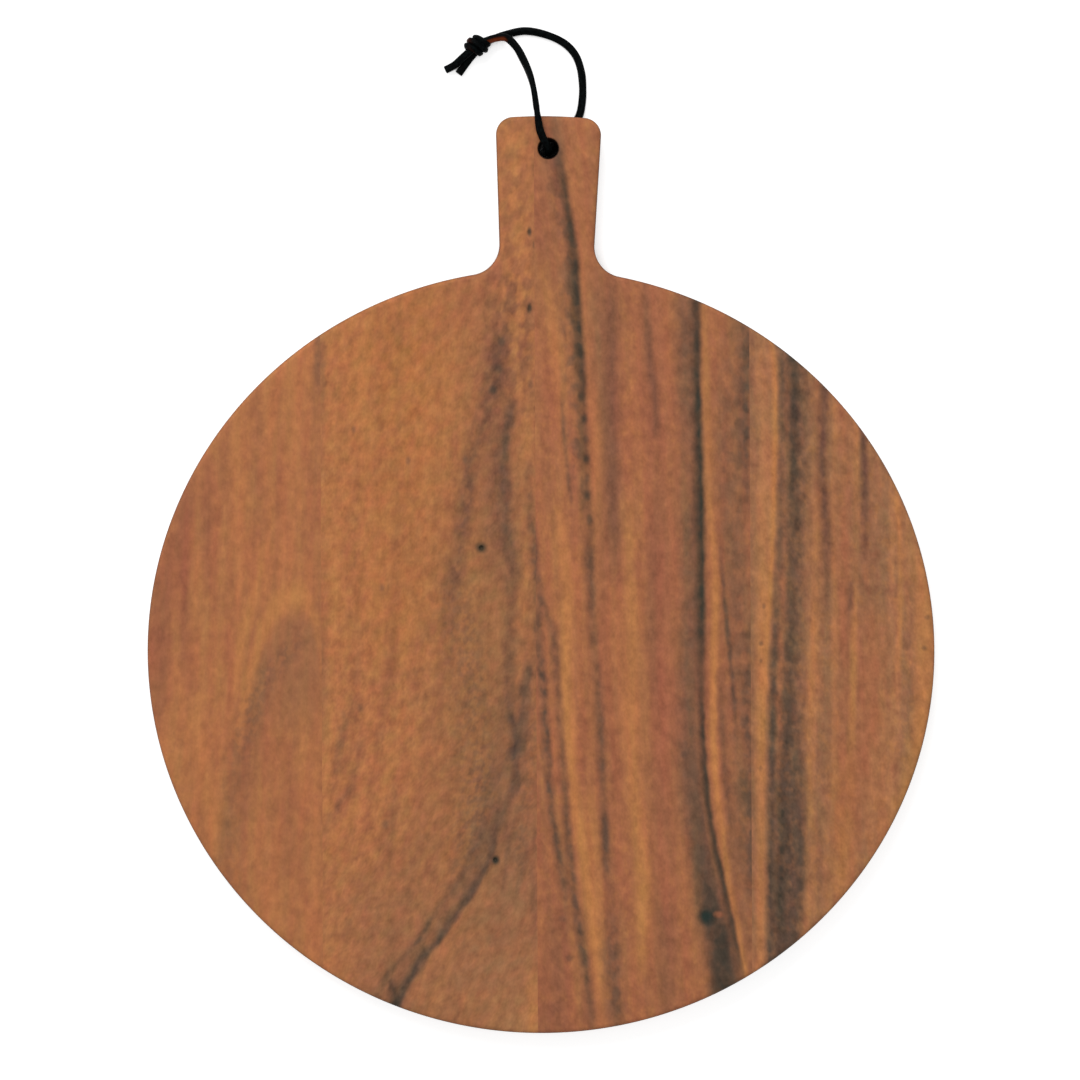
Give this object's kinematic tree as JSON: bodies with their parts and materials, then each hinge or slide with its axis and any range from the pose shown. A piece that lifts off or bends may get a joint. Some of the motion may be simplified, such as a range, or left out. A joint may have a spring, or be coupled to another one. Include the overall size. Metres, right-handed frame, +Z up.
{
  "type": "serving board",
  "caption": "Round edge-glued wooden serving board with a short tapered handle, a hanging hole and a knotted black leather lace loop.",
  "frame": {"origin": "middle of the disc, on its flat underside", "axes": "+Y along the handle, away from the disc; +Z up, out of the serving face; +X to the right seen from above with the handle pointing away"},
  "size_m": [0.3598, 0.4616, 0.0185],
  "materials": {
    "wood_left_outer": "oiled satin",
    "wood_left_inner": "oiled satin",
    "wood_right_inner": "oiled satin",
    "wood_right_outer": "oiled satin",
    "lace_leather": "dyed smooth"
  },
  "bodies": {
    "board": {"stave_left_outer": "wood_left_outer", "stave_left_inner": "wood_left_inner", "stave_right_inner": "wood_right_inner", "stave_right_outer": "wood_right_outer"},
    "hanging_lace": {"lace_loop": "lace_leather", "lace_knot": "lace_leather", "lace_tail_long": "lace_leather", "lace_tail_short": "lace_leather"}
  },
  "joints": [
    {"name": "lace_swing", "type": "hinge", "parent": "board", "child": "hanging_lace", "pos_m": [0, 0.22965, 0.009], "axis": [0, 0, 1], "range_deg": [-130, 95]}
  ]
}
